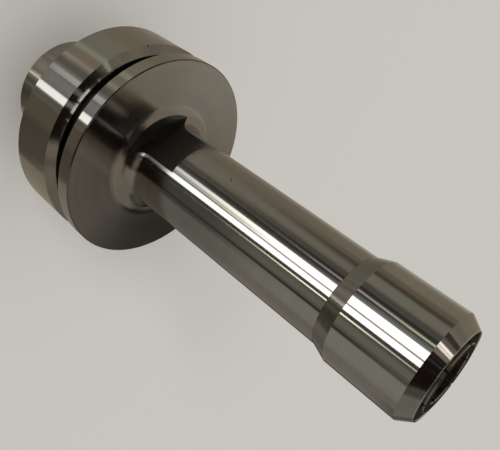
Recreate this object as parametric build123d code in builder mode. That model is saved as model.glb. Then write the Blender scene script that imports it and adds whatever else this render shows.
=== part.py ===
"""Slim collet chuck: hollow taper shank, flanged body, spring collet and smooth ball-bearing nut.

The axis of the chuck is +Z. The origin is the centre of the gauge face, which is the rear
face of the flange, so the taper lies below it and the nose points up. The wrench flats face
+X and -X. The chuck stands on the end of its taper, with the nut run up and the collet empty.
"""

from build123d import *
import os
from math import cos, radians, tan

os.makedirs("parts", exist_ok=True)

# Hollow taper shank, behind the gauge face
TAPER_GAUGE_DIA = 38.0
TAPER_LENGTH = 25.0
TAPER_RATIO = 10.0
TAPER_END_CHAMFER = 1.0
RELIEF_WIDTH = 1.2
RELIEF_DEPTH = 0.4
FACE_RELIEF_WIDTH = 1.0
FACE_RELIEF_DEPTH = 0.3
CLAMP_BORE_DIA = 26.0
CLAMP_BORE_LENGTH = 9.0
CLAMP_MOUTH_CHAMFER = 0.8
CLAMP_GROOVE_DIA = 29.0
CLAMP_LEDGE_ANGLE = 30.0
HOLLOW_DEPTH = 28.0
HOLLOW_CORNER_RADIUS = 1.0
THROUGH_BORE_DIA = 8.0

# Flange with its gripper groove
FLANGE_DIA = 63.0
FLANGE_WIDTH = 26.0
FLANGE_EDGE_CHAMFER = 0.3
GROOVE_CENTRE = 18.0
GROOVE_MOUTH = 7.0
GROOVE_DEPTH = 3.6
GROOVE_FLANK_ANGLE = 30.0

# Slim shank with two wrench flats beside the flange
SHANK_DIA = 25.2
SHANK_END = 96.3
ROOT_RADIUS = 5.6
FLAT_ACROSS = 21.0
FLAT_OFFSET = 0.9
FLAT_LENGTH = 14.7

# Threaded nose of the body, with the collet seat inside
UNDERCUT_DIA = 22.4
UNDERCUT_WIDTH = 2.2
THREAD_PITCH_DIA = 23.3
NOSE_STANDOFF = 1.8
NOSE_CHAMFER = 0.5
SEAT_MOUTH_CHAMFER = 0.2
TOOL_ROOM = 12.0

# Clamping nut, a smooth sleeve
NUT_DIA = 28.4
NUT_LENGTH = 26.85
NUT_SEAM = 0.05
NUT_REAR_DIA = 25.2
NUT_REAR_CONE = 4.35
NUT_REAR_BORE_DIA = 23.9
NUT_REAR_BORE_DEPTH = 2.25
NUT_FRONT_CHAMFER = 3.3
NUT_FACE_DIA = 23.9
NUT_MOUTH_DIA = 22.9
NUT_MOUTH_DEPTH = 7.4
NUT_LIP_CHAMFER = 0.15

# Spring collet, from its front face to its tail
COLLET_PROUD = 0.45
COLLET_LENGTH = 31.5
COLLET_DIA = 21.0
COLLET_BORE_DIA = 13.0
COLLET_TAIL_WALL = 0.6
COLLET_COLLAR_DIA = 18.4
COLLET_COLLAR_LENGTH = 2.0
COLLET_GROOVE_DIA = 17.0
COLLET_GROOVE_WIDTH = 2.7
COLLET_FRONT_CONE = 1.6
COLLET_FRONT_ANGLE = 30.0
COLLET_LAND = 1.2
COLLET_HALF_ANGLE = 8.0
COLLET_EDGE_CHAMFER = 0.2
SLIT_COUNT = 6
SLIT_WIDTH = 0.55
SLIT_ANGLE = 26.0
SLIT_TAIL_WEB = 4.5
SLIT_HEAD_WEB = 9.0

# Thrust ring with its ball track
RING_REAR_WALL = 0.2
RING_LIP_DIA = 17.7
RING_LIP_THICKNESS = 1.5
RING_LIP_GAP = 0.1
RACE_HEIGHT = 2.75
BALL_DIA = 1.8
BALL_COUNT = 34
PLUG_DIA = 1.9
PLUG_INSET = 0.05

# Stop screw behind the collet
STOP_THREAD_DIA = 13.4
STOP_LENGTH = 16.0
STOP_HEX = 6.0
STOP_HEX_DEPTH = 9.0
STOP_CHAMFER = 0.8
STOP_TRAVEL = 7.0

# Clearances, on the radius or square to the surface
SEAT_CLEARANCE = 0.05
TAIL_CLEARANCE = 0.35
THREAD_CLEARANCE = 0.05
RING_CLEARANCE = 0.08
CONE_CLEARANCE = 0.06
BALL_CLEARANCE = 0.03
PLUG_CLEARANCE = 0.02

# Relief bore of the body, which the collet's tail passes down
RELIEF_BORE_DIA = COLLET_BORE_DIA + 2 * (COLLET_TAIL_WALL + TAIL_CLEARANCE)

# Radii of the body
flange_r = FLANGE_DIA / 2
groove_floor_r = flange_r - GROOVE_DEPTH
shank_r = SHANK_DIA / 2
gauge_r = TAPER_GAUGE_DIA / 2
taper_slope = 1 / (2 * TAPER_RATIO)
taper_end_r = gauge_r - TAPER_LENGTH * taper_slope
relief_start_r = gauge_r - RELIEF_WIDTH * taper_slope
face_start_r = gauge_r + FACE_RELIEF_WIDTH
clamp_bore_r = CLAMP_BORE_DIA / 2
clamp_groove_r = CLAMP_GROOVE_DIA / 2
through_r = THROUGH_BORE_DIA / 2
undercut_r = UNDERCUT_DIA / 2
thread_r = THREAD_PITCH_DIA / 2
relief_bore_r = RELIEF_BORE_DIA / 2

# Radii and heights of the nut, from its seam with the shank
nut_r = NUT_DIA / 2
nut_rear_r = NUT_REAR_DIA / 2
nut_rear_bore_r = NUT_REAR_BORE_DIA / 2
nut_face_r = NUT_FACE_DIA / 2
nut_mouth_r = NUT_MOUTH_DIA / 2
nut_thread_r = thread_r + THREAD_CLEARANCE
nut_rear = SHANK_END + NUT_SEAM
nut_front = nut_rear + NUT_LENGTH
nut_thread_start = nut_rear + NUT_REAR_BORE_DEPTH
nut_shoulder = nut_front - NUT_MOUTH_DEPTH

# Radii of the collet, and its heights from its front face down to its tail
collet_r = COLLET_DIA / 2
collet_bore_r = COLLET_BORE_DIA / 2
collet_sleeve_r = collet_bore_r + COLLET_TAIL_WALL
collar_r = COLLET_COLLAR_DIA / 2
collet_groove_r = COLLET_GROOVE_DIA / 2
collet_face = nut_front + COLLET_PROUD
collet_tail = collet_face - COLLET_LENGTH
collar_rear = collet_face - COLLET_COLLAR_LENGTH
groove_rear = collar_rear - COLLET_GROOVE_WIDTH
land_front = groove_rear - COLLET_FRONT_CONE
land_rear = land_front - COLLET_LAND
front_slope = tan(radians(COLLET_FRONT_ANGLE))
front_cone_r = collet_r - COLLET_FRONT_CONE * front_slope

# The long cone runs to the tail, or to the straight sleeve round the bore if it meets that first
seat_slope = tan(radians(COLLET_HALF_ANGLE))
cone_end = max(collet_tail, land_rear - (collet_r - collet_sleeve_r) / seat_slope)
cone_end_r = collet_r - (land_rear - cone_end) * seat_slope

# The seat is the collet's own cone, moved out by the seat clearance
nose_end = land_rear - NOSE_STANDOFF
seat_shift = SEAT_CLEARANCE / cos(radians(COLLET_HALF_ANGLE))
seat_mouth_r = collet_r + seat_shift - NOSE_STANDOFF * seat_slope
seat_rear = nose_end - (seat_mouth_r - relief_bore_r) / seat_slope

# Stop screw, midway in its tapped length
stop_r = STOP_THREAD_DIA / 2
tap_r = stop_r + THREAD_CLEARANCE
tap_end = collet_tail - TOOL_ROOM
tap_start = tap_end - STOP_LENGTH - 2 * STOP_TRAVEL
stop_rear = tap_start + STOP_TRAVEL
stop_front = stop_rear + STOP_LENGTH

# Thrust ring, set around the collet's front cone and in its groove
ring_bore_r = collet_r + CONE_CLEARANCE
ring_r = nut_mouth_r - RING_CLEARANCE
ring_lip_r = RING_LIP_DIA / 2
ring_rear = land_rear - RING_REAR_WALL
cone_shift = CONE_CLEARANCE / cos(radians(COLLET_FRONT_ANGLE))
ring_cone_start = land_front + (cone_shift - CONE_CLEARANCE) / front_slope
lip_rear = groove_rear + RING_LIP_GAP
ring_cone_end_r = front_cone_r + cone_shift - RING_LIP_GAP * front_slope
ring_front = lip_rear + RING_LIP_THICKNESS

# Ball track, half in the ring and half in the nut
race_z = ring_rear + RACE_HEIGHT
race_r = nut_mouth_r - RING_CLEARANCE / 2
ball_r = BALL_DIA / 2
track_r = ball_r + BALL_CLEARANCE
plug_r = PLUG_DIA / 2
plug_start = race_r + track_r + PLUG_INSET
plug_end = nut_r - PLUG_INSET


def ring_edges(part, radius, height):
    """Circular edges of a turned part that have this radius, at this height."""
    circles = part.edges().filter_by(GeomType.CIRCLE)
    near = 1e-3
    return circles.filter_by(
        lambda e: abs(e.radius - radius) < near and abs(e.arc_center.Z - height) < near
    )


# Chuck body
with BuildPart() as chuck_body:
    # Taper, flange, slim shank and threaded nose, turned as one outline
    with BuildSketch(Plane.XZ):
        with BuildLine():
            Polyline(
                (0, -TAPER_LENGTH),
                (taper_end_r, -TAPER_LENGTH),
                (relief_start_r, -RELIEF_WIDTH),
                (relief_start_r - RELIEF_DEPTH, -RELIEF_WIDTH),
                (relief_start_r - RELIEF_DEPTH, FACE_RELIEF_DEPTH),
                (face_start_r, FACE_RELIEF_DEPTH),
                (face_start_r, 0),
                (flange_r, 0),
                (flange_r, FLANGE_WIDTH),
                (shank_r, FLANGE_WIDTH),
                (shank_r, SHANK_END),
                (undercut_r, SHANK_END),
                (undercut_r, SHANK_END + UNDERCUT_WIDTH),
                (thread_r, SHANK_END + UNDERCUT_WIDTH + thread_r - undercut_r),
                (thread_r, nose_end),
                (0, nose_end),
                close=True,
            )
        make_face()
    revolve(axis=Axis.Z)

    # Broken edges and the large root radius in front of the flange
    chamfer(ring_edges(chuck_body, taper_end_r, -TAPER_LENGTH), TAPER_END_CHAMFER)
    chamfer(ring_edges(chuck_body, flange_r, 0), FLANGE_EDGE_CHAMFER)
    chamfer(ring_edges(chuck_body, flange_r, FLANGE_WIDTH), FLANGE_EDGE_CHAMFER)
    chamfer(ring_edges(chuck_body, thread_r, nose_end), NOSE_CHAMFER)
    fillet(ring_edges(chuck_body, shank_r, FLANGE_WIDTH), ROOT_RADIUS)

    # Gripper groove with two sloped flanks
    groove_floor = GROOVE_MOUTH - 2 * GROOVE_DEPTH * tan(radians(GROOVE_FLANK_ANGLE))
    with BuildSketch(Plane.XZ):
        with BuildLine():
            Polyline(
                (flange_r, GROOVE_CENTRE - GROOVE_MOUTH / 2),
                (groove_floor_r, GROOVE_CENTRE - groove_floor / 2),
                (groove_floor_r, GROOVE_CENTRE + groove_floor / 2),
                (flange_r, GROOVE_CENTRE + GROOVE_MOUTH / 2),
                close=True,
            )
        make_face()
    revolve(axis=Axis.Z, mode=Mode.SUBTRACT)

    # Two wrench flats milled across the root, with square end walls
    cutter_centre = FLAT_ACROSS / 2 + flange_r / 2
    with BuildSketch(Plane.XY.offset(FLANGE_WIDTH + FLAT_OFFSET)):
        with Locations((cutter_centre, 0), (-cutter_centre, 0)):
            Rectangle(flange_r, FLANGE_DIA)
    extrude(amount=FLAT_LENGTH, mode=Mode.SUBTRACT)

    # Hollow of the taper, with the ledge that the drawbar pulls on
    ledge_length = (clamp_groove_r - clamp_bore_r) / tan(radians(CLAMP_LEDGE_ANGLE))
    ledge_start = CLAMP_BORE_LENGTH - TAPER_LENGTH
    hollow_floor = HOLLOW_DEPTH - TAPER_LENGTH
    with BuildSketch(Plane.XZ):
        with BuildLine():
            Polyline(
                (0, -TAPER_LENGTH),
                (clamp_bore_r + CLAMP_MOUTH_CHAMFER, -TAPER_LENGTH),
                (clamp_bore_r, CLAMP_MOUTH_CHAMFER - TAPER_LENGTH),
                (clamp_bore_r, ledge_start),
                (clamp_groove_r, ledge_start + ledge_length),
                (clamp_groove_r, hollow_floor),
                (0, hollow_floor),
                close=True,
            )
        make_face()
        fillet(vertices().group_by(Axis.X)[-1].sort_by(Axis.Y)[-1], HOLLOW_CORNER_RADIUS)
    revolve(axis=Axis.Z, mode=Mode.SUBTRACT)

    # Through bore, tapped length, relief bore and conical collet seat
    with BuildSketch(Plane.XZ):
        with BuildLine():
            Polyline(
                (0, hollow_floor),
                (through_r, hollow_floor),
                (through_r, tap_start - (tap_r - through_r)),
                (tap_r, tap_start),
                (tap_r, tap_end),
                (relief_bore_r, tap_end + relief_bore_r - tap_r),
                (relief_bore_r, seat_rear),
                (seat_mouth_r - SEAT_MOUTH_CHAMFER * seat_slope, nose_end - SEAT_MOUTH_CHAMFER),
                (seat_mouth_r + SEAT_MOUTH_CHAMFER, nose_end),
                (0, nose_end),
                close=True,
            )
        make_face()
    revolve(axis=Axis.Z, mode=Mode.SUBTRACT)

chuck_body.part.label = "chuck_body"
export_step(chuck_body.part, "parts/chuck_body.step")

# Clamping nut
with BuildPart() as clamping_nut:
    # Smooth sleeve with a turned cone behind and a wide bevel in front
    with BuildSketch(Plane.XZ):
        with BuildLine():
            Polyline(
                (nut_rear_bore_r, nut_rear),
                (nut_rear_r, nut_rear),
                (nut_r, nut_rear + NUT_REAR_CONE),
                (nut_r, nut_front - NUT_FRONT_CHAMFER),
                (nut_face_r, nut_front),
                (nut_mouth_r + NUT_LIP_CHAMFER, nut_front),
                (nut_mouth_r, nut_front - NUT_LIP_CHAMFER),
                (nut_mouth_r, nut_shoulder),
                (nut_thread_r, nut_shoulder - (nut_thread_r - nut_mouth_r)),
                (nut_thread_r, nut_thread_start + nut_rear_bore_r - nut_thread_r),
                (nut_rear_bore_r, nut_thread_start),
                close=True,
            )
        make_face()
    revolve(axis=Axis.Z)

    # Outer half of the ball track
    with BuildSketch(Plane.XZ):
        with Locations((race_r, race_z)):
            Circle(track_r)
    revolve(axis=Axis.Z, mode=Mode.SUBTRACT)

    # Hole through which the balls go in
    with BuildSketch(Plane(origin=(-race_r, 0, race_z), x_dir=(0, 1, 0), z_dir=(-1, 0, 0))):
        Circle(plug_r + PLUG_CLEARANCE)
    extrude(amount=nut_r, mode=Mode.SUBTRACT)

clamping_nut.part.label = "clamping_nut"
export_step(clamping_nut.part, "parts/clamping_nut.step")

# Filler plug, flush in the nut's ball hole
with BuildPart() as filler_plug:
    with BuildSketch(Plane(origin=(-plug_start, 0, race_z), x_dir=(0, 1, 0), z_dir=(-1, 0, 0))):
        Circle(plug_r)
    extrude(amount=plug_end - plug_start)

filler_plug.part.label = "filler_plug"
export_step(filler_plug.part, "parts/filler_plug.step")

# Thrust ring
with BuildPart() as thrust_ring:
    with BuildSketch(Plane.XZ):
        with BuildLine():
            Polyline(
                (ring_bore_r, ring_rear),
                (ring_r, ring_rear),
                (ring_r, ring_front),
                (ring_lip_r, ring_front),
                (ring_lip_r, lip_rear),
                (ring_cone_end_r, lip_rear),
                (ring_bore_r, ring_cone_start),
                close=True,
            )
        make_face()
    revolve(axis=Axis.Z)

    # Inner half of the ball track
    with BuildSketch(Plane.XZ):
        with Locations((race_r, race_z)):
            Circle(track_r)
    revolve(axis=Axis.Z, mode=Mode.SUBTRACT)

thrust_ring.part.label = "thrust_ring"
export_step(thrust_ring.part, "parts/thrust_ring.step")

# Bearing balls, a full ring of them in the track
for index, place in enumerate(PolarLocations(race_r, BALL_COUNT)):
    with BuildPart(Plane.XY.offset(race_z)) as bearing_ball:
        with Locations(place.position):
            Sphere(ball_r)
    name = f"bearing_ball_{index + 1:02d}"
    bearing_ball.part.label = name
    export_step(bearing_ball.part, f"parts/{name}.step")

# Spring collet
with BuildPart() as spring_collet:
    # Turned outline: collar, groove, front cone, land and long seat cone
    with BuildSketch(Plane.XZ):
        with BuildLine():
            Polyline(
                (0, cone_end),
                (cone_end_r, cone_end),
                (collet_r, land_rear),
                (collet_r, land_front),
                (front_cone_r, groove_rear),
                (collet_groove_r, groove_rear),
                (collet_groove_r, collar_rear),
                (collar_r, collar_rear),
                (collar_r, collet_face),
                (0, collet_face),
                close=True,
            )
        make_face()
    revolve(axis=Axis.Z)

    # Straight sleeve that keeps a wall round the bore down to the tail
    with BuildSketch(Plane.XY.offset(collet_tail)):
        Circle(collet_sleeve_r)
    extrude(amount=land_rear - collet_tail)

    # Tool bore, right through
    with BuildSketch(Plane.XY.offset(collet_tail)):
        Circle(collet_bore_r)
    extrude(amount=COLLET_LENGTH, mode=Mode.SUBTRACT)
    chamfer(ring_edges(spring_collet, collar_r, collet_face), COLLET_EDGE_CHAMFER)
    chamfer(ring_edges(spring_collet, collet_bore_r, collet_face), COLLET_EDGE_CHAMFER)

    # Slits sawn from the head, which stop short of the tail
    head_slit = COLLET_LENGTH - SLIT_TAIL_WEB
    with BuildSketch(Plane.XY.offset(collet_face)):
        with PolarLocations(collet_r, SLIT_COUNT, start_angle=SLIT_ANGLE):
            Rectangle(COLLET_DIA, SLIT_WIDTH)
    extrude(amount=-head_slit, mode=Mode.SUBTRACT)

    # Slits sawn from the tail, between the others, which stop short of the head
    tail_slit = COLLET_LENGTH - SLIT_HEAD_WEB
    with BuildSketch(Plane.XY.offset(collet_tail)):
        with PolarLocations(collet_r, SLIT_COUNT, start_angle=SLIT_ANGLE + 180 / SLIT_COUNT):
            Rectangle(COLLET_DIA, SLIT_WIDTH)
    extrude(amount=tail_slit, mode=Mode.SUBTRACT)

spring_collet.part.label = "spring_collet"
export_step(spring_collet.part, "parts/spring_collet.step")

# Stop screw
with BuildPart() as stop_screw:
    with BuildSketch(Plane.XY.offset(stop_rear)):
        Circle(stop_r)
    extrude(amount=STOP_LENGTH)
    chamfer(ring_edges(stop_screw, stop_r, stop_rear), STOP_CHAMFER)
    chamfer(ring_edges(stop_screw, stop_r, stop_front), STOP_CHAMFER)

    # Hexagon socket for the key that reaches in through the empty nose
    with BuildSketch(Plane.XY.offset(stop_front)):
        RegularPolygon(STOP_HEX / 2, 6, major_radius=False)
    extrude(amount=-STOP_HEX_DEPTH, mode=Mode.SUBTRACT)

stop_screw.part.label = "stop_screw"
export_step(stop_screw.part, "parts/stop_screw.step")
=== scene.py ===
"""Looks of a slim collet chuck: its steel finishes, its screw threads, and the studio round it.

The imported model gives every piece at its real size. This script dresses those pieces in turned, ground
and blackened steel, adds the two fine threads, and sets up floor, light and camera.
"""

import logging
import math
from dataclasses import dataclass, field
from enum import Enum

import bpy
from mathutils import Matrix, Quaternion, Vector


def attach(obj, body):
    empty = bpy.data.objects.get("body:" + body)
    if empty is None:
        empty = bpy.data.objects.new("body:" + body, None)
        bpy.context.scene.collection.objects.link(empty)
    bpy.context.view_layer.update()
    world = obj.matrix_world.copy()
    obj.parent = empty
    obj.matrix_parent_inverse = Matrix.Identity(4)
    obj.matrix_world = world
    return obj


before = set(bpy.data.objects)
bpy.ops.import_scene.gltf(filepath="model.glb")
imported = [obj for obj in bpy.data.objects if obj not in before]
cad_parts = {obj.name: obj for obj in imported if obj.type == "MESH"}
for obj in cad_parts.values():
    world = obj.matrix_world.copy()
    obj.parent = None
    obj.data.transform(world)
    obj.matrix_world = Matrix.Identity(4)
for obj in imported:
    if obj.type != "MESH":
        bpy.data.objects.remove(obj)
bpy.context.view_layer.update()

LOG = logging.getLogger("collet_chuck")
MM = 0.001
Colour = tuple[float, float, float]
Place = tuple[float, float, float]
Socket = bpy.types.NodeSocket
Source = Socket | float | tuple[float, ...]

# The numbers of the Mix node's sockets for its factor, its two colours and its result
MIX_FACTOR = 0
MIX_FIRST = 6
MIX_SECOND = 7
MIX_RESULT = 2


class Body(Enum):
    """The bodies that the added threads ride on."""

    CHUCK = "chuck_body"
    NUT = "clamping_nut"


class Slot(Enum):
    """Two finish names for the added threads, which nothing in this script uses."""

    GROUND = "ground_steel"
    NUT = "nut_steel"


class Tint(Enum):
    """Colours of the light that the steel mirrors."""

    WARM = (1.0, 0.86, 0.66)
    WALL = (1.0, 0.94, 0.82)
    PALE = (1.0, 0.97, 0.81)
    MOSS = (0.98, 1.0, 0.87)
    DUSK = (1.0, 0.99, 0.86)
    BROWN = (1.0, 0.88, 0.66)
    WHITE = (1.0, 1.0, 1.0)
    CREAM = (1.0, 0.97, 0.86)
    ICE = (0.90, 0.98, 1.0)
    LILAC = (1.0, 0.80, 0.88)
    LEAF = (0.86, 1.0, 0.72)
    RUST = (1.0, 0.62, 0.52)


def rgba(colour: Colour, level: float = 1.0) -> tuple[float, float, float, float]:
    """The colour times a level, with full opacity."""
    return (colour[0] * level, colour[1] * level, colour[2] * level, 1.0)


class Wiring:
    """Adds and joins the nodes of one node tree."""

    def __init__(self, tree: bpy.types.NodeTree) -> None:
        """Starts with an empty tree.

        Args:
            tree: The node tree to fill.
        """
        self.tree = tree
        tree.nodes.clear()

    def add(self, kind: str, **settings: object) -> bpy.types.Node:
        """Adds one node and sets its properties.

        Args:
            kind: The node's type name.
            settings: Properties of the node by name.

        Returns:
            The new node.
        """
        node = self.tree.nodes.new(kind)
        for name, value in settings.items():
            setattr(node, name, value)
        return node

    def feed(self, target: Socket, source: Source) -> None:
        """Links a socket to the target, or sets the target's own value.

        Args:
            target: The input to feed.
            source: A socket, a number or a tuple.
        """
        if isinstance(source, Socket):
            self.tree.links.new(source, target)
        else:
            target.default_value = source

    def math(self, operation: str, *values: Source) -> Socket:
        """Adds a math node.

        Args:
            operation: The operation's name.
            values: Sockets or numbers, in order.

        Returns:
            The result.
        """
        node = self.add("ShaderNodeMath", operation=operation)
        for target, value in zip(node.inputs, values):
            self.feed(target, value)
        return node.outputs[0]

    def ramp(self, value: Source, low: Source, high: Source, start: Source = 0.0,
             end: Source = 1.0) -> Socket:
        """Maps a value smoothly from one range to another, and holds it at both ends.

        Args:
            value: The value to map.
            low: The value that gives start.
            high: The value that gives end.
            start: The result at low.
            end: The result at high.

        Returns:
            The mapped value.
        """
        node = self.add("ShaderNodeMapRange", interpolation_type="SMOOTHSTEP")
        for name, source in (("Value", value), ("From Min", low), ("From Max", high),
                             ("To Min", start), ("To Max", end)):
            self.feed(node.inputs[name], source)
        return node.outputs["Result"]

    def weighted(self, first: Socket, share: float, second: Socket, other_share: float) -> Socket:
        """The sum of two values, each times its share."""
        part = self.math("MULTIPLY", first, share)
        return self.math("ADD", part, self.math("MULTIPLY", second, other_share))

    def reach(self, along: Socket, across: Socket) -> Socket:
        """The length of a vector with two parts.

        Args:
            along: The first part.
            across: The second part.

        Returns:
            The length.
        """
        square = self.math("ADD", self.math("POWER", along, 2.0), self.math("POWER", across, 2.0))
        return self.math("SQRT", square)

    def blend(self, mask: Source, first: Source, second: Source, way: str = "MIX") -> Socket:
        """Mixes two colours.

        Args:
            mask: 0 gives the first colour, and 1 the second laid over it.
            first: A colour or socket.
            second: A colour or socket.
            way: How the second is laid over the first.

        Returns:
            The mixed colour.
        """
        node = self.add("ShaderNodeMix", data_type="RGBA", blend_type=way)
        self.feed(node.inputs[MIX_FACTOR], mask)
        self.feed(node.inputs[MIX_FIRST], first)
        self.feed(node.inputs[MIX_SECOND], second)
        return node.outputs[MIX_RESULT]

    def noise(self, vector: Socket, scale: float, detail: float = 2.0, rough: float = 0.5) -> Socket:
        """Adds a noise texture.

        Args:
            vector: Where it is read.
            scale: Its scale.
            detail: Its number of octaves.
            rough: How strong the finer octaves are.

        Returns:
            The noise value, about 0.5 on average.
        """
        node = self.add("ShaderNodeTexNoise")
        self.feed(node.inputs["Vector"], vector)
        node.inputs["Scale"].default_value = scale
        node.inputs["Detail"].default_value = detail
        node.inputs["Roughness"].default_value = rough
        return node.outputs["Fac"]

    def group(self, tree: bpy.types.NodeTree, **values: Source) -> bpy.types.Node:
        """Places a shared group and feeds its inputs.

        Args:
            tree: The group's tree.
            values: Sockets or values by input name, with _ for a space.

        Returns:
            The group node.
        """
        node = self.add("ShaderNodeGroup", node_tree=tree)
        for name, value in values.items():
            self.feed(node.inputs[name.replace("_", " ")], value)
        return node


def new_group(name: str, inputs: dict[str, str], outputs: dict[str, str]
              ) -> tuple[bpy.types.NodeTree, Wiring, bpy.types.Node, bpy.types.Node]:
    """Makes an empty shared node group.

    Args:
        name: The group's name.
        inputs: Socket type by input name.
        outputs: Socket type by output name.

    Returns:
        The tree, its wiring, its input node and its output node.
    """
    tree = bpy.data.node_groups.new(name, "ShaderNodeTree")
    for label, kind in inputs.items():
        tree.interface.new_socket(name=label, in_out="INPUT", socket_type=kind)
    for label, kind in outputs.items():
        tree.interface.new_socket(name=label, in_out="OUTPUT", socket_type=kind)
    wiring = Wiring(tree)
    return tree, wiring, wiring.add("NodeGroupInput"), wiring.add("NodeGroupOutput")


FLOAT = "NodeSocketFloat"
COLOUR = "NodeSocketColor"
VECTOR = "NodeSocketVector"


class SteelEffects:
    """The node groups that the steel finishes share."""

    def __init__(self) -> None:
        """Builds each group once."""
        self.place = self._place()
        self.band = self._band()
        self.tool_marks = self._tool_marks()
        self.handling = self._handling()
        self.nick = self._nick()

    @staticmethod
    def _place() -> bpy.types.NodeTree:
        """Radius, height, distance to the middle plane, and position on the chuck, in millimetres.

        Returns:
            The group's tree.
        """
        tree, w, _, out = new_group("place_on_chuck", {}, {
            "Position": VECTOR, "Radius": FLOAT, "Height": FLOAT, "Across": FLOAT})
        coordinates = w.add("ShaderNodeTexCoord")
        scaled = w.add("ShaderNodeVectorMath", operation="SCALE")
        w.feed(scaled.inputs[0], coordinates.outputs["Object"])
        scaled.inputs["Scale"].default_value = 1 / MM
        parts = w.add("ShaderNodeSeparateXYZ")
        w.feed(parts.inputs[0], scaled.outputs[0])
        w.feed(out.inputs["Position"], scaled.outputs[0])
        w.feed(out.inputs["Radius"], w.reach(parts.outputs[0], parts.outputs[1]))
        w.feed(out.inputs["Height"], parts.outputs[2])
        w.feed(out.inputs["Across"], w.math("ABSOLUTE", parts.outputs[0]))
        return tree

    @staticmethod
    def _band() -> bpy.types.NodeTree:
        """1 where a value lies between two limits, with a soft edge at both.

        Returns:
            The group's tree.
        """
        tree, w, given, out = new_group(
            "band", {"Value": FLOAT, "Low": FLOAT, "High": FLOAT, "Edge": FLOAT}, {"Mask": FLOAT})
        value = given.outputs["Value"]
        low = given.outputs["Low"]
        high = given.outputs["High"]
        edge = given.outputs["Edge"]
        rise = w.ramp(value, w.math("SUBTRACT", low, edge), w.math("ADD", low, edge))
        fall = w.ramp(value, w.math("SUBTRACT", high, edge), w.math("ADD", high, edge), 1.0, 0.0)
        w.feed(out.inputs["Mask"], w.math("MULTIPLY", rise, fall))
        return tree

    @staticmethod
    def _tool_marks() -> bpy.types.NodeTree:
        """Rings left by turning or grinding: round the axis on walls, and concentric on faces.

        Returns:
            The group's tree.
        """
        change_round_axis = 0.03
        wide_scale = 0.13
        fine_share = 0.6
        wide_height = 0.9
        wide_shade = 0.4
        tree, w, given, out = new_group(
            "tool_marks", {"Position": VECTOR, "Radius": FLOAT, "Height": FLOAT, "Pitch": FLOAT},
            {"Height": FLOAT, "Shade": FLOAT})
        along = w.math("DIVIDE", w.math("ADD", given.outputs["Radius"], given.outputs["Height"]),
                       given.outputs["Pitch"])
        parts = w.add("ShaderNodeSeparateXYZ")
        w.feed(parts.inputs[0], given.outputs["Position"])
        turn = w.add("ShaderNodeCombineXYZ")
        w.feed(turn.inputs[0], w.math("MULTIPLY", parts.outputs[0], change_round_axis))
        w.feed(turn.inputs[1], w.math("MULTIPLY", parts.outputs[1], change_round_axis))
        w.feed(turn.inputs[2], along)
        fine = w.noise(turn.outputs[0], 1.0, detail=3.0, rough=0.65)
        wide = w.noise(turn.outputs[0], wide_scale, detail=2.0)
        w.feed(out.inputs["Height"], w.weighted(fine, fine_share, wide, wide_height))
        w.feed(out.inputs["Shade"], w.weighted(fine, fine_share, wide, wide_shade))
        return tree

    @staticmethod
    def _handling() -> bpy.types.NodeTree:
        """Hairline scratches in two directions, small specks and faint smears of oil.

        Returns:
            The group's tree.
        """
        hairlines = (((0.5, 0.2, 0.4), (0.06, 2.6, 2.6)), ((0.1, 1.1, 0.7), (2.2, 2.2, 0.05)))
        hairline_start = 0.70
        hairline_full = 0.76
        speck_cells = 0.22
        speck_core = 0.03
        speck_rim = 0.06
        smear_scale = 0.07
        smear_start = 0.42
        smear_full = 0.68
        tree, w, given, out = new_group(
            "handling_marks", {"Position": VECTOR, "Scratches": FLOAT, "Specks": FLOAT},
            {"Scratch": FLOAT, "Speck": FLOAT, "Smear": FLOAT})
        scratch = None
        for turn, stretch in hairlines:
            mapping = w.add("ShaderNodeMapping", vector_type="TEXTURE")
            w.feed(mapping.inputs["Vector"], given.outputs["Position"])
            mapping.inputs["Rotation"].default_value = turn
            mapping.inputs["Scale"].default_value = tuple(1 / s for s in stretch)
            line = w.ramp(w.noise(mapping.outputs[0], 1.0, detail=1.0), hairline_start, hairline_full)
            scratch = line if scratch is None else w.math("MAXIMUM", scratch, line)
        cells = w.add("ShaderNodeTexVoronoi", feature="F1")
        w.feed(cells.inputs["Vector"], given.outputs["Position"])
        cells.inputs["Scale"].default_value = speck_cells
        dot = w.ramp(cells.outputs["Distance"], speck_core, speck_rim, 1.0, 0.0)
        w.feed(out.inputs["Scratch"], w.math("MULTIPLY", scratch, given.outputs["Scratches"]))
        w.feed(out.inputs["Speck"], w.math("MULTIPLY", dot, given.outputs["Specks"]))
        smear = w.noise(given.outputs["Position"], smear_scale, detail=3.0)
        w.feed(out.inputs["Smear"], w.ramp(smear, smear_start, smear_full))
        return tree

    @staticmethod
    def _nick() -> bpy.types.NodeTree:
        """A small round nick at one place.

        Returns:
            The group's tree.
        """
        core_share = 0.6
        tree, w, given, out = new_group(
            "nick", {"Position": VECTOR, "Centre": VECTOR, "Radius": FLOAT}, {"Mask": FLOAT})
        gap = w.add("ShaderNodeVectorMath", operation="DISTANCE")
        w.feed(gap.inputs[0], given.outputs["Position"])
        w.feed(gap.inputs[1], given.outputs["Centre"])
        radius = given.outputs["Radius"]
        core = w.math("MULTIPLY", radius, core_share)
        w.feed(out.inputs["Mask"], w.ramp(gap.outputs["Value"], core, radius, 1.0, 0.0))
        return tree


@dataclass(frozen=True)
class Zone:
    """A ring of one piece that was machined in its own way, or whose tone is painted shade or a painted
    highlight. Lengths are in millimetres.

    It lies between two radii and two heights. Where side_low is above 0, it also lies between
    two distances to the plane midway between the wrench flats.
    """

    name: str
    inner: float
    outer: float
    low: float
    high: float
    roughness: float
    tone: float = 1.0
    edge: float = 0.05
    marks: float = 1.0
    side_low: float = -1.0
    side_high: float = 99.0


@dataclass(frozen=True)
class Nick:
    """One small dent that the real chuck has. Lengths are in millimetres."""

    place: Place
    radius: float


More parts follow.
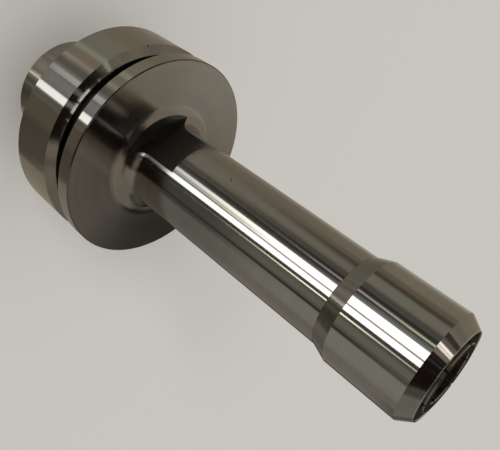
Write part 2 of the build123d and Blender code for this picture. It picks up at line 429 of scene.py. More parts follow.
@dataclass(frozen=True)
class SteelFinish:
    """How one kind of steel was machined and handled. Lengths are in millimetres."""

    name: str
    colour: Colour
    roughness: float
    anisotropy: float = 0.0
    mark_pitch: float = 0.5
    mark_depth: float = 0.0015
    scratches: float = 0.3
    specks: float = 0.0
    smear: float = 0.03
    zones: tuple[Zone, ...] = ()
    nicks: tuple[Nick, ...] = ()
    grain_turn: float = 0.25
    mark_tone: float = 0.28
    mark_roughness: float = 0.05
    scratch_roughness: float = 0.06
    scratch_depth: float = 0.5
    nick_depth: float = 8.0
    dirt_share: float = 0.85
    dirt: Colour = (0.05, 0.045, 0.04)

    def build(self, effects: SteelEffects) -> bpy.types.Material:
        """Makes the material.

        Args:
            effects: The shared node groups.

        Returns:
            The new material.
        """
        material = bpy.data.materials.new(self.name)
        material.use_nodes = True
        w = Wiring(material.node_tree)
        shader = w.add("ShaderNodeBsdfPrincipled")
        out = w.add("ShaderNodeOutputMaterial")
        w.feed(out.inputs["Surface"], shader.outputs["BSDF"])
        shader.inputs["Metallic"].default_value = 1.0
        place = w.group(effects.place)
        position = place.outputs["Position"]
        marks = w.group(effects.tool_marks, Position=position, Radius=place.outputs["Radius"],
                        Height=place.outputs["Height"], Pitch=self.mark_pitch)
        worn = w.group(effects.handling, Position=position, Scratches=self.scratches, Specks=self.specks)
        rough, tone, ringed = self._zoned(w, effects, place)
        dark = self._dark_spots(w, effects, position, worn.outputs["Speck"])
        shade = w.math("MULTIPLY", w.math("SUBTRACT", marks.outputs["Shade"], 0.5), ringed)
        tone = w.math("MULTIPLY", tone, w.math("MULTIPLY_ADD", shade, self.mark_tone, 1.0))
        w.feed(shader.inputs["Base Color"], self._stained(w, tone, dark))
        rough = w.math("ADD", rough, w.math("MULTIPLY", worn.outputs["Smear"], self.smear))
        rough = w.math("ADD", rough, w.math("MULTIPLY", worn.outputs["Scratch"], self.scratch_roughness))
        w.feed(shader.inputs["Roughness"], w.math("MULTIPLY_ADD", shade, self.mark_roughness, rough))
        relief = w.math("SUBTRACT", w.math("MULTIPLY", marks.outputs["Height"], ringed),
                        w.math("MULTIPLY", worn.outputs["Scratch"], self.scratch_depth))
        bump = w.add("ShaderNodeBump")
        bump.inputs["Strength"].default_value = 1.0
        bump.inputs["Distance"].default_value = self.mark_depth * MM
        w.feed(bump.inputs["Height"], w.math("SUBTRACT", relief, w.math("MULTIPLY", dark, self.nick_depth)))
        w.feed(shader.inputs["Normal"], bump.outputs["Normal"])
        if self.anisotropy:
            shader.inputs["Anisotropic"].default_value = self.anisotropy
            shader.inputs["Anisotropic Rotation"].default_value = self.grain_turn
            tangent = w.add("ShaderNodeTangent", direction_type="RADIAL", axis="Z")
            w.feed(shader.inputs["Tangent"], tangent.outputs[0])
        return material

    def _zoned(self, w: Wiring, effects: SteelEffects, place: bpy.types.Node
               ) -> tuple[Source, Source, Source]:
        """Changes roughness, tone and strength of the tool marks from zone to zone; in some zones the tone
        is painted shade or a painted highlight.

        Args:
            w: The material's wiring.
            effects: The shared node groups.
            place: The node that gives the place on the chuck.

        Returns:
            The roughness, the tone and the strength of the marks.
        """
        rough: Source = self.roughness
        tone: Source = 1.0
        ringed: Source = 1.0
        for zone in self.zones:
            mask = self._zone_mask(w, effects, place, zone)
            rough = w.math("MULTIPLY_ADD", mask, zone.roughness - self.roughness, rough)
            tone = w.math("MULTIPLY_ADD", mask, zone.tone - 1.0, tone)
            ringed = w.math("MULTIPLY_ADD", mask, zone.marks - 1.0, ringed)
        return rough, tone, ringed

    def _dark_spots(self, w: Wiring, effects: SteelEffects, position: Socket, specks: Socket) -> Socket:
        """Joins the specks and the nicks in one mask.

        Args:
            w: The material's wiring.
            effects: The shared node groups.
            position: The place on the chuck.
            specks: The mask of the specks.

        Returns:
            The mask.
        """
        dark = specks
        for nick in self.nicks:
            spot = w.group(effects.nick, Position=position, Centre=nick.place, Radius=nick.radius)
            dark = w.math("MAXIMUM", dark, spot.outputs["Mask"])
        return dark

    def _stained(self, w: Wiring, tone: Socket, dark: Socket) -> Socket:
        """The steel's colour times its tone, with dirt in the dark spots.

        Args:
            w: The material's wiring.
            tone: The tone.
            dark: The mask of the dark spots.

        Returns:
            The colour.
        """
        shaded = w.blend(1.0, rgba(self.colour), tone, way="MULTIPLY")
        return w.blend(w.math("MULTIPLY", dark, self.dirt_share), shaded, rgba(self.dirt))

    @staticmethod
    def _zone_mask(w: Wiring, effects: SteelEffects, place: bpy.types.Node, zone: Zone) -> Socket:
        """1 inside the zone.

        Args:
            w: The material's wiring.
            effects: The shared node groups.
            place: The node that gives the place on the chuck.
            zone: The zone.

        Returns:
            The mask.
        """
        ring = w.group(effects.band, Value=place.outputs["Radius"], Low=zone.inner, High=zone.outer,
                       Edge=zone.edge)
        ring.label = zone.name
        span = w.group(effects.band, Value=place.outputs["Height"], Low=zone.low, High=zone.high,
                       Edge=zone.edge)
        mask = w.math("MULTIPLY", ring.outputs["Mask"], span.outputs["Mask"])
        if zone.side_low > 0:
            flat = w.group(effects.band, Value=place.outputs["Across"], Low=zone.side_low,
                           High=zone.side_high, Edge=zone.edge / 2)
            mask = w.math("MULTIPLY", mask, flat.outputs["Mask"])
        return mask


def dress(node: str, material: bpy.types.Material) -> None:
    """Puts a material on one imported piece.

    Args:
        node: The piece's name.
        material: Its new material.
    """
    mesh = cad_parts[node].data
    mesh.materials.clear()
    mesh.materials.append(material)
    LOG.info("%s: %s, %d faces", node, material.name, len(mesh.polygons))


@dataclass(frozen=True)
class ScrewThread:
    """A helical ridge round the chuck's axis. Lengths are in millimetres."""

    root: float
    crest: float
    start: float
    end: float
    pitch: float = 1.0
    crest_share: float = 0.18
    root_share: float = 0.86
    steps: int = 72
    run_out: float = 0.75
    least_rise: float = 0.02
    foot_overlap: float = 0.03
    crease_angle: float = 25.0

    def build(self, name: str) -> bpy.types.Object:
        """Makes the ridge as one closed mesh.

        Args:
            name: The piece's name.

        Returns:
            The new object.
        """
        length = self.end - self.start - self.root_share * self.pitch
        count = round(self.steps * length / self.pitch)
        run = self.run_out * self.steps
        inward = self.crest < self.root
        corners = 4
        vertices = []
        faces = []
        for k in range(count + 1):
            angle = math.tau * k / self.steps
            middle = self.start + self.root_share * self.pitch / 2 + self.pitch * k / self.steps
            rise = min(1.0, k / run, (count - k) / run)
            for radius, offset in self._section(max(rise, self.least_rise)):
                vertices.append((radius * math.cos(angle) * MM, radius * math.sin(angle) * MM,
                                 (middle + offset) * MM))
        for k in range(count):
            here = corners * k
            beyond = here + corners
            for c in range(corners):
                after = (c + 1) % corners
                quad = (here + c, here + after, beyond + after, beyond + c)
                faces.append(quad if inward else quad[::-1])
        first_end = tuple(range(corners))
        last_end = tuple(corners * count + c for c in first_end)
        faces.append(first_end[::-1] if inward else first_end)
        faces.append(last_end if inward else last_end[::-1])
        mesh = bpy.data.meshes.new(name)
        mesh.from_pydata(vertices, [], faces)
        mesh.validate()
        for polygon in mesh.polygons:
            polygon.use_smooth = True
        mesh.set_sharp_from_angle(angle=math.radians(self.crease_angle))
        piece = bpy.data.objects.new(name, mesh)
        bpy.context.scene.collection.objects.link(piece)
        return piece

    def _section(self, rise: float) -> list[tuple[float, float]]:
        """The four corners of the ridge's section.

        Args:
            rise: The share of its full height that it has here.

        Returns:
            Radius and offset along the axis of each corner.
        """
        crest = self.root + (self.crest - self.root) * rise
        foot = self.root_share * self.pitch / 2
        top = foot + (self.crest_share * self.pitch / 2 - foot) * rise
        sunk = self.root - math.copysign(self.foot_overlap, self.crest - self.root)
        return [(sunk, -foot), (crest, -top), (crest, top), (sunk, foot)]


@dataclass
class ChuckBody:
    """The one-piece body: hollow taper, grooved flange, slim shank and threaded nose. In millimetres."""

    flange_radius: float = 31.5
    flange_front: float = 26.0
    groove_floor: float = 27.9
    groove_rear: float = 14.2
    groove_front: float = 21.7
    root_end: float = 18.3
    root_top: float = 32.0
    shank_radius: float = 12.6
    bore_radius: float = 10.35
    bore_end: float = 116.3
    flat_end: float = 26.9
    flat_top: float = 41.7
    flat_offset: float = 10.5
    taper_end: float = -26.0
    hollow_floor: float = 3.1
    hollow_radius: float = 14.6
    thread_root: float = 11.64
    thread_crest: float = 11.93
    thread_start: float = 99.1
    thread_end: float = 113.9
    colour: Colour = (0.44, 0.425, 0.395)

    def finish(self) -> SteelFinish:
        """Ground lands and shank, turned groove and front face, and a dull hollow, with painted shade that
        darkens the front rim, the groove's floor, the flats' shoulder, the hollow and the bore.

        Returns:
            The finish.
        """
        beyond = 0.4
        skin = 0.1
        flat_skin = 0.06
        face_low = self.flange_front - 2 * skin
        face_high = self.flange_front + 2 * skin
        edge_width = 0.32
        land_start = 0.3
        floor_top = self.groove_floor + 1.0
        rim = self.flange_radius + beyond
        return SteelFinish(
            "ground_body_steel", self.colour, roughness=0.105, anisotropy=0.93, mark_pitch=0.55,
            mark_depth=0.0006, scratches=0.2, smear=0.02,
            zones=(
                Zone("front_face", self.root_end, rim, face_low, face_high, roughness=0.17, marks=1.6),
                # The front rim's chamfer: its tone of 0.5 is painted shade, a dark line round the rim
                Zone("front_edge_painted_shade", self.flange_radius - edge_width, rim, self.flange_front - edge_width,
                     face_high, roughness=0.25, tone=0.5, edge=0.02),
                Zone("lands", self.flange_radius - skin, rim, land_start, self.flange_front - land_start,
                     roughness=0.07),
                Zone("root_fillet", self.shank_radius + skin, self.root_end, face_low, self.root_top,
                     roughness=0.16),
                Zone("groove", floor_top, self.flange_radius - skin, self.groove_rear, self.groove_front,
                     roughness=0.08, tone=0.9),
                # The groove's floor: its near-black tone is painted shade of the deep, narrow groove
                Zone("groove_floor", self.groove_floor - beyond, floor_top, self.groove_rear,
                     self.groove_front, roughness=0.35, tone=0.04, edge=0.08),
                Zone("wrench_flat", 0.0, self.root_end, self.flat_end - skin, self.flat_top, roughness=0.12,
                     tone=0.7, edge=0.06, side_low=self.flat_offset - flat_skin,
                     side_high=self.flat_offset + flat_skin),
                # The shoulder below the flats: its dark tone is painted shade
                Zone("flat_shoulder_painted_shade", 0.0, self.root_end, self.flat_end - skin, self.flat_end + skin,
                     roughness=0.20, tone=0.3, side_low=self.flat_offset + skin),
                # The hollow and the through bore: dull steel, and their darker tones are painted shade
                # inside the body
                Zone("hollow", 0.0, self.hollow_radius, self.taper_end, self.hollow_floor, roughness=0.34,
                     tone=0.8),
                Zone("through_bore", 0.0, self.bore_radius, self.hollow_floor, self.bore_end,
                     roughness=0.34, tone=0.6),
            ),
            nicks=(Nick((12.59, -0.54, 56.56), 0.30), Nick((12.55, -1.0, 56.2), 0.18),
                   Nick((12.6, -0.2, 57.0), 0.14), Nick((29.73, -9.45, 14.68), 0.35)),
        )

    def build(self, effects: SteelEffects) -> None:
        """Dresses the body and cuts the thread on its nose.

        Args:
            effects: The shared node groups.
        """
        steel = self.finish().build(effects)
        dress("chuck_body", steel)
        thread = ScrewThread(self.thread_root, self.thread_crest, self.thread_start, self.thread_end)
        piece = thread.build("nose_thread")
        piece.data.materials.append(steel)
        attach(piece, Body.CHUCK.value)
        LOG.info("nose_thread: %d faces", len(piece.data.polygons))


@dataclass
class ClampingNut:
    """The smooth round nut: matt cone behind, ground wall, wide bevel, thread inside. In millimetres."""

    radius: float = 14.2
    rear_radius: float = 12.0
    rear: float = 96.35
    cone_end: float = 100.7
    front: float = 123.2
    mouth_radius: float = 11.45
    thread_root: float = 11.71
    thread_crest: float = 11.42
    thread_start: float = 98.7
    thread_end: float = 115.6
    colour: Colour = (0.46, 0.445, 0.415)

    def finish(self) -> SteelFinish:
        """Polished wall and bevel, matt cone and dull bore, with a painted highlight on the mouth's lip and
        painted shade in the bore.

        Returns:
            The finish.
        """
        skin = 0.1
        lip_width = 0.6
        lip_depth = 0.25
        bore_width = 0.35
        bore_depth = 0.3
        return SteelFinish(
            "polished_nut_steel", self.colour, roughness=0.09, anisotropy=0.93, mark_pitch=0.6,
            mark_depth=0.0003, scratches=0.12, smear=0.02,
            zones=(
                Zone("rear_cone", self.rear_radius, self.radius + skin, self.rear - skin, self.cone_end,
                     roughness=0.14, tone=0.75, marks=1.5),
                # The mouth's lip: its tone of 1.7 is a painted highlight, a pale rim line
                Zone("lip", self.mouth_radius - skin, self.mouth_radius + lip_width,
                     self.front - lip_depth, self.front + 2 * skin, roughness=0.30, tone=1.7, edge=0.03),
                # The nut's bore: dull steel, and its darker tone is painted shade inside the nut
                Zone("bore", 0.0, self.mouth_radius + bore_width, self.rear, self.front - bore_depth,
                     roughness=0.34, tone=0.6),
            ),
        )

    def build(self, effects: SteelEffects) -> None:
        """Dresses the nut and cuts the thread in its bore.

        Args:
            effects: The shared node groups.
        """
        steel = self.finish().build(effects)
        dress("clamping_nut", steel)
        thread = ScrewThread(self.thread_root, self.thread_crest, self.thread_start, self.thread_end)
        piece = thread.build("nut_thread")
        piece.data.materials.append(steel)
        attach(piece, Body.NUT.value)
        LOG.info("nut_thread: %d faces", len(piece.data.polygons))


@dataclass
class ColletAndBearing:
    """The slit spring collet, and the ring, balls and plug behind the nut's turn. In millimetres."""

    bore_radius: float = 6.9
    bore_start: float = 90.0
    bore_end: float = 123.4
    face_inner: float = 6.78
    face_outer: float = 8.94
    face_low: float = 123.5
    face_high: float = 123.8
    collet_colour: Colour = (0.40, 0.39, 0.365)
    bearing_colour: Colour = (0.42, 0.41, 0.395)

    def build(self, effects: SteelEffects) -> None:
        """Dresses the collet, the ring, the balls and the plug.

        Args:
            effects: The shared node groups.
        """
        # The collet's bore: dull steel, and its dark tone is painted shade inside the bore
        bore = Zone("bore", 0.0, self.bore_radius, self.bore_start, self.bore_end, roughness=0.36, tone=0.3)
        # The collet's face: its darker tone is painted shade deep in the nut's mouth
        face = Zone("face", self.face_inner, self.face_outer, self.face_low, self.face_high,
                    roughness=0.12, tone=0.4, edge=0.03)
        collet = SteelFinish("ground_collet_steel", self.collet_colour, roughness=0.24, anisotropy=0.8,
                             mark_pitch=0.35, mark_depth=0.0009, zones=(bore, face))
        dress("spring_collet", collet.build(effects))
        ring = SteelFinish("ground_bearing_steel", self.bearing_colour, roughness=0.22, anisotropy=0.8,
                           mark_pitch=0.3, mark_depth=0.0008)
        ring_steel = ring.build(effects)
        dress("thrust_ring", ring_steel)
        dress("filler_plug", ring_steel)
        ball_steel = SteelFinish("polished_ball_steel", self.bearing_colour, roughness=0.10,
                                 mark_pitch=0.2, mark_depth=0.0002, scratches=0.1).build(effects)
        for name in sorted(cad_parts):
            if name.startswith("bearing_ball"):
                dress(name, ball_steel)


@dataclass
class StopScrew:
    """The blackened stop screw behind the collet."""

    colour: Colour = (0.075, 0.075, 0.08)

    def build(self, effects: SteelEffects) -> None:
        """Dresses the screw.

        Args:
            effects: The shared node groups.
        """
        black = SteelFinish("blackened_steel", self.colour, roughness=0.38, mark_pitch=0.5,
                            mark_depth=0.004, scratches=0.6)
        dress("stop_screw", black.build(effects))


@dataclass(frozen=True)
class Panel:
    """A lamp, wall or dark screen round the studio, by direction. Angles are in degrees.

    Its level falls to half at half_width and half_height, and fades from full to none between
    one edge width inside them and one outside. A later panel covers an earlier one.
    """

    azimuth: float
    half_width: float
    side_edge: float
    elevation: float
    half_height: float
    top_edge: float
    level: float
    tint: Tint


@dataclass
class Studio:
    """Pale floor, soft light, the room that the steel mirrors, and the camera."""

    floor_height: float = -0.025
    floor_radius: float = 4.0
    floor_sides: int = 128
    floor_colour: Colour = (0.62, 0.60, 0.57)
    room_level: float = 0.30
    soft_level: float = 0.78
    soft_colour: Colour = (1.0, 0.99, 0.97)
    streak_scale: float = 55.0
    streak_detail: float = 1.0
    streak_stretch: float = 0.03
    streak_swing: float = 0.5
    streak_least: float = 0.75
    lamp_strength: float = 1.0
    lamp_spread: float = 18.0
    lamp_azimuth: float = 16.0
    lamp_elevation: float = 30.0
    camera_place: Place = (0.11904, 0.07089, 0.13977)
    camera_azimuth: float = 31.0815
    camera_elevation: float = 31.6422
    camera_roll: float = 126.8106
    lens: float = 43.194
    sensor_width: float = 36.0
    clip: tuple[float, float] = (0.01, 100.0)
    shift: tuple[float, float] = (0.04425, -0.03358)
    panels: tuple[Panel, ...] = field(default_factory=lambda: STUDIO_PANELS)

    def build(self) -> None:
        """Sets up floor, lamp, room and camera."""
        self._floor()
        self._lamp()
        self._room()
        self._camera()
        view = bpy.context.scene.view_settings
        view.view_transform = "Standard"

    def _floor(self) -> None:
        """A round pale floor that mirrors in nothing, but keeps the shadow."""
        ring = [(self.floor_radius * math.cos(math.tau * k / self.floor_sides),
                 self.floor_radius * math.sin(math.tau * k / self.floor_sides), self.floor_height)
                for k in range(self.floor_sides)]
        mesh = bpy.data.meshes.new("studio_floor")
        mesh.from_pydata(ring, [], [tuple(range(self.floor_sides))])
        floor = bpy.data.objects.new("studio_floor", mesh)
        bpy.context.scene.collection.objects.link(floor)
        material = bpy.data.materials.new("matt_floor")
        material.use_nodes = True
        w = Wiring(material.node_tree)
        matt = w.add("ShaderNodeBsdfPrincipled")
        matt.inputs["Base Color"].default_value = rgba(self.floor_colour)
        matt.inputs["Roughness"].default_value = 1.0
        matt.inputs["Specular IOR Level"].default_value = 0.0
        clear = w.add("ShaderNodeBsdfTransparent")
        path = w.add("ShaderNodeLightPath")
        mix = w.add("ShaderNodeMixShader")
        w.feed(mix.inputs[0], path.outputs["Is Glossy Ray"])
        w.feed(mix.inputs[1], matt.outputs["BSDF"])
        w.feed(mix.inputs[2], clear.outputs["BSDF"])
        out = w.add("ShaderNodeOutputMaterial")
        w.feed(out.inputs["Surface"], mix.outputs[0])
        mesh.materials.append(material)

    def _lamp(self) -> None:
        """One wide soft lamp, which gives the shadow its direction."""
        light = bpy.data.lights.new("soft_lamp", "SUN")
        light.energy = self.lamp_strength
        light.angle = math.radians(self.lamp_spread)
        lamp = bpy.data.objects.new("soft_lamp", light)
        lamp.rotation_mode = "QUATERNION"
        towards_lamp = self._towards(self.lamp_azimuth, self.lamp_elevation)
        lamp.rotation_quaternion = towards_lamp.to_track_quat("Z", "Y")
        lamp.visible_glossy = False
        bpy.context.scene.collection.objects.link(lamp)

    @staticmethod
    def _towards(azimuth: float, elevation: float) -> Vector:
        """Turns a direction into a unit vector from the chuck.

        Args:
            azimuth: Degrees from +X.
            elevation: Degrees above the floor.

        Returns:
            The vector.
        """
        turn = math.radians(azimuth)
        rise = math.radians(elevation)
        return Vector((math.cos(turn) * math.cos(rise), math.sin(turn) * math.cos(rise), math.sin(rise)))

    def _camera(self) -> None:
        """The camera, turned on its side as the photograph was taken."""
        data = bpy.data.cameras.new("camera")
        data.lens = self.lens
        data.sensor_width = self.sensor_width
        data.shift_x, data.shift_y = self.shift
        data.clip_start, data.clip_end = self.clip
        camera = bpy.data.objects.new("camera", data)
        back = self._towards(self.camera_azimuth, self.camera_elevation)
        camera.rotation_mode = "QUATERNION"
        upright = (-back).to_track_quat("-Z", "Y")
        camera.rotation_quaternion = upright @ Quaternion((0, 0, 1), math.radians(self.camera_roll))
        camera.location = self.camera_place
        bpy.context.scene.collection.objects.link(camera)
        bpy.context.scene.camera = camera

    def _room(self) -> None:
        """The room: pale behind the chuck, even for soft light, and panels for what the steel mirrors."""
        world = bpy.data.worlds.new("studio_room")
        bpy.context.scene.world = world
        world.use_nodes = True
        world.cycles.sampling_method = "NONE"
        w = Wiring(world.node_tree)
        coordinates = w.add("ShaderNodeTexCoord")
        parts = w.add("ShaderNodeSeparateXYZ")
        w.feed(parts.inputs[0], coordinates.outputs["Generated"])
        azimuth = w.math("DEGREES", w.math("ARCTAN2", parts.outputs[1], parts.outputs[0]))
        elevation = w.math("DEGREES", w.math("ARCSINE", parts.outputs[2]))
        panel_tree = self._panel_group()
        seen: Source = rgba(Tint.WARM.value, self.room_level)
        for panel in self.panels:
            node = w.group(panel_tree, Behind=seen, Azimuth=azimuth, Elevation=elevation,
                           Centre_Azimuth=panel.azimuth, Half_Width=panel.half_width,
                           Side_Edge=panel.side_edge, Centre_Elevation=panel.elevation,
                           Half_Height=panel.half_height, Top_Edge=panel.top_edge,
                           Tint=rgba(panel.tint.value), Level=panel.level)
            seen = node.outputs["Seen"]
        seen = self._streaked(w, parts, seen)
        path = w.add("ShaderNodeLightPath")
        # Behind the chuck the room is as bright as the floor under the soft light and the lamp
        lamp_share = self.lamp_strength * math.sin(math.radians(self.lamp_elevation)) / math.pi
        behind = rgba(self.floor_colour, self.soft_level + lamp_share)
        clear = w.math("MAXIMUM", path.outputs["Is Camera Ray"], path.outputs["Is Transmission Ray"])
        other = w.blend(clear, rgba(self.soft_colour, self.soft_level), behind)
        colour = w.blend(path.outputs["Is Glossy Ray"], other, seen)
        background = w.add("ShaderNodeBackground")
        w.feed(background.inputs["Color"], colour)
        out = w.add("ShaderNodeOutputWorld")
        w.feed(out.inputs["Surface"], background.outputs[0])

    def _streaked(self, w: Wiring, parts: bpy.types.Node, seen: Socket) -> Socket:
        """Fine upright streaks of tone and tint over the whole room.

        Args:
            w: The world's wiring.
            parts: The parts of the direction.
            seen: The room without streaks.

        Returns:
            The streaked room.
        """
        reach = w.reach(parts.outputs[0], parts.outputs[1])
        place = w.add("ShaderNodeCombineXYZ")
        w.feed(place.inputs[0], w.math("DIVIDE", parts.outputs[0], reach))
        w.feed(place.inputs[1], w.math("DIVIDE", parts.outputs[1], reach))
        w.feed(place.inputs[2], w.math("MULTIPLY", parts.outputs[2], self.streak_stretch))
        noise = w.add("ShaderNodeTexNoise")
        w.feed(noise.inputs["Vector"], place.outputs[0])
        noise.inputs["Scale"].default_value = self.streak_scale
        noise.inputs["Detail"].default_value = self.streak_detail
        gain = w.add("ShaderNodeVectorMath", operation="MULTIPLY_ADD")
        w.feed(gain.inputs[0], noise.outputs["Color"])
        gain.inputs[1].default_value = (self.streak_swing,) * 3
        gain.inputs[2].default_value = (self.streak_least,) * 3
        product = w.add("ShaderNodeVectorMath", operation="MULTIPLY")
        w.feed(product.inputs[0], seen)
        w.feed(product.inputs[1], gain.outputs[0])
        return product.outputs[0]

    @staticmethod
    def _panel_group() -> bpy.types.NodeTree:
        """Lays one soft-edged panel over what is behind it.

        Returns:
            The group's tree.
        """
        tree, w, given, out = new_group("studio_panel", {
            "Behind": COLOUR, "Azimuth": FLOAT, "Elevation": FLOAT, "Centre Azimuth": FLOAT,
            "Half Width": FLOAT, "Side Edge": FLOAT, "Centre Elevation": FLOAT, "Half Height": FLOAT,
            "Top Edge": FLOAT, "Tint": COLOUR, "Level": FLOAT}, {"Seen": COLOUR})
        turn = w.math("SUBTRACT", given.outputs["Azimuth"], given.outputs["Centre Azimuth"])
        turn = w.math("ABSOLUTE", turn)
        turn = w.math("MINIMUM", turn, w.math("SUBTRACT", 360.0, turn))
        rise = w.math("SUBTRACT", given.outputs["Elevation"], given.outputs["Centre Elevation"])
        rise = w.math("ABSOLUTE", rise)
        masks = []
        for value, half, edge in ((turn, "Half Width", "Side Edge"), (rise, "Half Height", "Top Edge")):
            far = w.math("ADD", given.outputs[half], given.outputs[edge])
            near = w.math("SUBTRACT", given.outputs[half], given.outputs[edge])
            masks.append(w.ramp(value, near, far, 1.0, 0.0))
        light = w.add("ShaderNodeVectorMath", operation="SCALE")
        w.feed(light.inputs[0], given.outputs["Tint"])
        w.feed(light.inputs["Scale"], given.outputs["Level"])
        w.feed(out.inputs["Seen"],
               w.blend(w.math("MULTIPLY", masks[0], masks[1]), given.outputs["Behind"], light.outputs[0]))
        return tree


# Each panel: azimuth, half width, side edge, elevation, half height, top edge, level, tint
PALE_WALLS = (
    Panel(-131.0, 20.0, 12.0, -14.0, 12.0, 9.0, 0.44, Tint.WALL),
    Panel(-143.0, 15.0, 9.0, -42.0, 18.0, 8.0, 0.34, Tint.WALL),
    Panel(-141.0, 9.0, 7.0, -13.0, 9.0, 6.0, 0.60, Tint.WALL),
    Panel(-166.0, 27.0, 9.0, 6.0, 14.0, 5.0, 0.09, Tint.WALL),
    Panel(-132.0, 14.0, 9.0, 37.0, 8.0, 6.0, 0.43, Tint.WALL),
    Panel(-112.0, 12.0, 6.0, 38.0, 12.0, 6.0, 0.36, Tint.WALL),
    Panel(-78.0, 25.0, 10.0, -41.0, 18.0, 8.0, 0.25, Tint.WARM),
    Panel(-35.0, 12.0, 5.0, -32.0, 25.0, 6.0, 0.27, Tint.PALE),
    Panel(160.0, 36.0, 10.0, -12.0, 16.0, 8.0, 0.25, Tint.WALL),
    Panel(104.0, 22.0, 10.0, -13.0, 15.0, 8.0, 0.325, Tint.MOSS),
)

# Dimmer parts of the room, which give the lands, the shank and the nut their greys
DIM_PARTS = (
    Panel(-58.0, 9.0, 6.0, -5.0, 20.0, 9.0, 0.20, Tint.WARM),
    Panel(-48.5, 5.4, 3.8, -6.0, 20.0, 8.0, 0.105, Tint.WARM),
    Panel(-10.0, 10.8, 4.5, -5.0, 26.0, 6.0, 0.12, Tint.DUSK),
    Panel(-6.0, 6.0, 4.0, -34.0, 8.0, 3.0, 0.12, Tint.DUSK),
    Panel(-5.0, 3.2, 1.5, -10.0, 18.0, 5.0, 0.05, Tint.DUSK),
    Panel(6.5, 6.5, 2.5, -18.0, 22.0, 4.0, 0.055, Tint.DUSK),
    Panel(9.6, 0.8, 0.5, -28.0, 10.0, 4.0, 0.12, Tint.ICE),
    Panel(-70.0, 10.0, 6.0, 38.0, 6.0, 4.0, 0.23, Tint.WALL),
    Panel(-160.0, 13.0, 6.0, 43.0, 9.0, 5.0, 0.18, Tint.WALL),
    Panel(-164.0, 11.5, 3.0, 29.0, 9.3, 3.0, 0.015, Tint.DUSK),
    Panel(-153.0, 10.0, 4.0, 10.0, 6.0, 3.0, 0.02, Tint.DUSK),
    Panel(-151.5, 4.2, 2.0, 35.5, 6.0, 3.0, 0.03, Tint.DUSK),
    Panel(-149.5, 3.4, 2.0, 46.0, 5.5, 3.0, 0.015, Tint.DUSK),
    Panel(143.0, 33.0, 8.0, 25.0, 22.0, 12.0, 0.235, Tint.WALL),
    Panel(108.0, 13.0, 5.0, 46.0, 5.5, 2.5, 0.10, Tint.DUSK),
    Panel(166.0, 18.0, 6.0, -1.0, 7.5, 3.0, 0.06, Tint.DUSK),
    Panel(66.0, 34.5, 4.0, 60.0, 18.0, 5.0, 0.012, Tint.DUSK),
    Panel(144.0, 48.0, 6.0, -34.0, 5.5, 4.0, 0.18, Tint.MOSS),
    Panel(-167.0, 12.0, 5.0, -24.0, 17.0, 3.0, 0.10, Tint.WALL),
    Panel(87.5, 31.5, 5.0, -54.0, 11.5, 3.0, 0.115, Tint.BROWN),
    Panel(118.0, 15.0, 4.0, -56.0, 9.5, 1.5, 0.115, Tint.BROWN),
    Panel(69.0, 11.0, 4.0, -50.0, 6.0, 2.5, 0.15, Tint.BROWN),
    Panel(61.0, 6.0, 1.5, -10.0, 16.0, 6.0, 0.13, Tint.PALE),
    Panel(70.0, 9.0, 3.0, -10.0, 16.0, 6.0, 0.22, Tint.PALE),
    Panel(79.0, 4.0, 2.0, -12.0, 15.0, 6.0, 0.16, Tint.PALE),
    Panel(84.0, 3.2, 1.4, -8.0, 10.0, 4.0, 0.14, Tint.DUSK),
    Panel(84.0, 3.2, 1.4, -22.0, 9.0, 3.5, 0.05, Tint.DUSK),
    Panel(75.5, 22.5, 1.5, -36.0, 7.0, 4.0, 0.085, Tint.MOSS),
    Panel(84.0, 2.6, 1.4, -36.0, 7.0, 3.0, 0.05, Tint.DUSK),
    Panel(51.5, 5.5, 1.0, -18.0, 24.0, 5.0, 0.08, Tint.DUSK),
)

# The dark ceiling, and the screens and glints that the wrench flats and the bevel mirror
CEILING = (
    Panel(-8.0, 9.5, 2.0, 39.0, 11.5, 2.5, 0.02, Tint.DUSK),
    Panel(44.0, 44.0, 3.0, 46.0, 34.0, 4.0, 0.014, Tint.RUST),
    Panel(20.0, 62.0, 8.0, 71.0, 9.5, 3.0, 0.015, Tint.BROWN),
    Panel(0.0, 200.0, 1.0, 84.0, 10.5, 3.5, 0.025, Tint.DUSK),
    Panel(-33.0, 16.0, 4.0, 25.0, 24.0, 3.5, 0.042, Tint.ICE),
    Panel(-45.0, 6.0, 3.0, 48.0, 4.5, 2.5, 0.05, Tint.DUSK),
    Panel(-34.0, 3.5, 2.0, 52.0, 2.5, 1.5, 0.20, Tint.PALE),
    Panel(-33.5, 1.8, 0.9, 61.5, 2.5, 1.5, 0.9, Tint.LEAF),
    Panel(22.0, 5.0, 3.0, 71.0, 3.0, 1.5, 0.25, Tint.WALL),
    Panel(48.0, 4.5, 3.0, 70.6, 3.0, 1.5, 0.38, Tint.WALL),
)

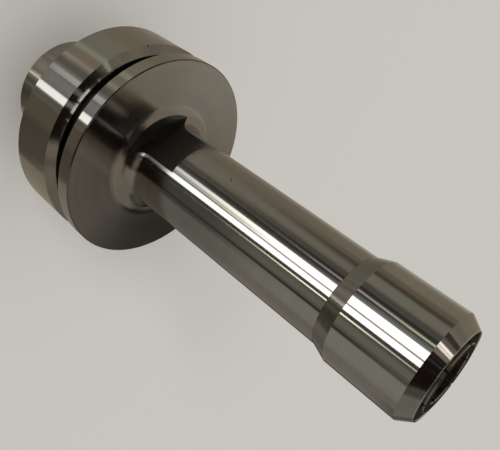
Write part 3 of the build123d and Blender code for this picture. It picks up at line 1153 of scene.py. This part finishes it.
# The lamps: two broad strips, their coloured edges, and the small lamps over the bevel
LAMP_STRIPS = (
    Panel(9.5, 2.4, 1.0, -8.0, 10.0, 5.0, 0.25, Tint.PALE),
    Panel(13.6, 2.2, 1.0, -12.0, 9.0, 4.0, 0.33, Tint.ICE),
    Panel(2.3, 1.8, 0.9, -6.0, 7.5, 1.5, 1.00, Tint.LEAF),
    Panel(1.6, 1.7, 0.9, -18.0, 4.5, 2.0, 0.70, Tint.LILAC),
    Panel(33.8, 3.0, 0.8, -18.0, 14.0, 3.0, 0.50, Tint.ICE),
    Panel(33.3, 2.6, 0.8, -36.0, 5.0, 2.0, 0.24, Tint.ICE),
    Panel(24.2, 8.0, 1.0, -18.0, 13.0, 2.0, 2.8, Tint.WHITE),
    Panel(20.0, 3.7, 0.8, -31.5, 3.5, 1.5, 2.4, Tint.CREAM),
    Panel(20.0, 3.5, 0.8, -37.0, 3.5, 1.5, 1.5, Tint.ICE),
    Panel(27.5, 3.6, 0.8, -31.5, 3.5, 1.5, 1.10, Tint.LEAF),
    Panel(27.5, 3.2, 0.8, -37.0, 3.5, 1.5, 0.75, Tint.ICE),
    Panel(17.8, 3.5, 1.5, -46.0, 7.0, 3.0, 0.68, Tint.WHITE),
    Panel(29.5, 5.5, 1.5, -46.0, 7.0, 3.0, 0.33, Tint.ICE),
    Panel(40.9, 5.4, 0.8, -22.5, 17.5, 2.0, 2.8, Tint.WHITE),
    Panel(42.5, 4.3, 1.2, -47.0, 8.0, 2.0, 1.9, Tint.WHITE),
    Panel(41.0, 4.0, 1.0, 33.6, 3.6, 1.2, 2.6, Tint.WHITE),
    Panel(54.9, 0.9, 0.5, -28.5, 1.5, 1.0, 0.8, Tint.ICE),
    Panel(54.9, 1.1, 0.6, -25.7, 1.8, 1.0, 1.8, Tint.BROWN),
    Panel(54.9, 1.3, 0.7, -19.5, 5.0, 1.5, 2.8, Tint.CREAM),
    Panel(54.5, 1.0, 0.6, -10.0, 5.0, 2.0, 1.0, Tint.CREAM),
    Panel(-20.0, 7.0, 1.5, 56.0, 3.5, 1.5, 1.6, Tint.LILAC),
    Panel(-24.0, 2.0, 0.8, 55.0, 3.5, 1.5, 3.2, Tint.CREAM),
    Panel(-15.0, 1.2, 0.6, 56.0, 3.5, 1.5, 2.8, Tint.LEAF),
    Panel(-3.0, 4.0, 2.0, 58.5, 3.0, 1.5, 0.36, Tint.LILAC),
    Panel(9.5, 4.0, 2.0, 60.0, 2.0, 1.0, 0.05, Tint.LILAC),
    Panel(22.0, 4.0, 2.0, 61.0, 2.0, 1.0, 0.07, Tint.WHITE),
)

# Low lights, which the flange's lands and the nut's rear cone mirror
LOW_LIGHTS = (
    Panel(-21.0, 3.5, 2.0, -49.0, 7.0, 3.0, 0.42, Tint.PALE),
    Panel(-3.0, 2.5, 1.5, -49.0, 7.0, 3.0, 0.42, Tint.WALL),
    Panel(6.5, 4.0, 1.5, -49.0, 7.0, 3.0, 0.17, Tint.PALE),
    Panel(51.5, 3.0, 1.5, -49.0, 7.0, 3.0, 0.16, Tint.PALE),
    Panel(-42.0, 30.0, 10.0, -57.5, 3.0, 2.0, 0.19, Tint.CREAM),
    Panel(-3.0, 3.0, 1.5, -60.0, 3.0, 1.5, 0.17, Tint.CREAM),
    Panel(8.0, 2.5, 1.2, -60.0, 3.0, 1.5, 0.34, Tint.PALE),
    Panel(22.0, 2.5, 1.2, -60.0, 3.0, 1.5, 0.42, Tint.LILAC),
    Panel(34.0, 3.0, 1.2, -60.0, 3.0, 1.5, 0.20, Tint.LEAF),
    Panel(46.5, 2.6, 1.2, -60.0, 3.0, 1.5, 1.15, Tint.CREAM),
    Panel(71.0, 3.0, 1.5, -58.5, 3.0, 1.5, 0.24, Tint.PALE),
    Panel(92.0, 12.0, 4.0, -56.5, 4.0, 2.0, 0.07, Tint.DUSK),
)

STUDIO_PANELS = PALE_WALLS + DIM_PARTS + CEILING + LAMP_STRIPS + LOW_LIGHTS


def main() -> None:
    """Builds the studio and each sub-assembly in order."""
    logging.basicConfig(level=logging.INFO, format="%(name)s %(message)s")
    Studio().build()
    effects = SteelEffects()
    ChuckBody().build(effects)
    ClampingNut().build(effects)
    ColletAndBearing().build(effects)
    StopScrew().build(effects)


if __name__ == "__main__":
    main()
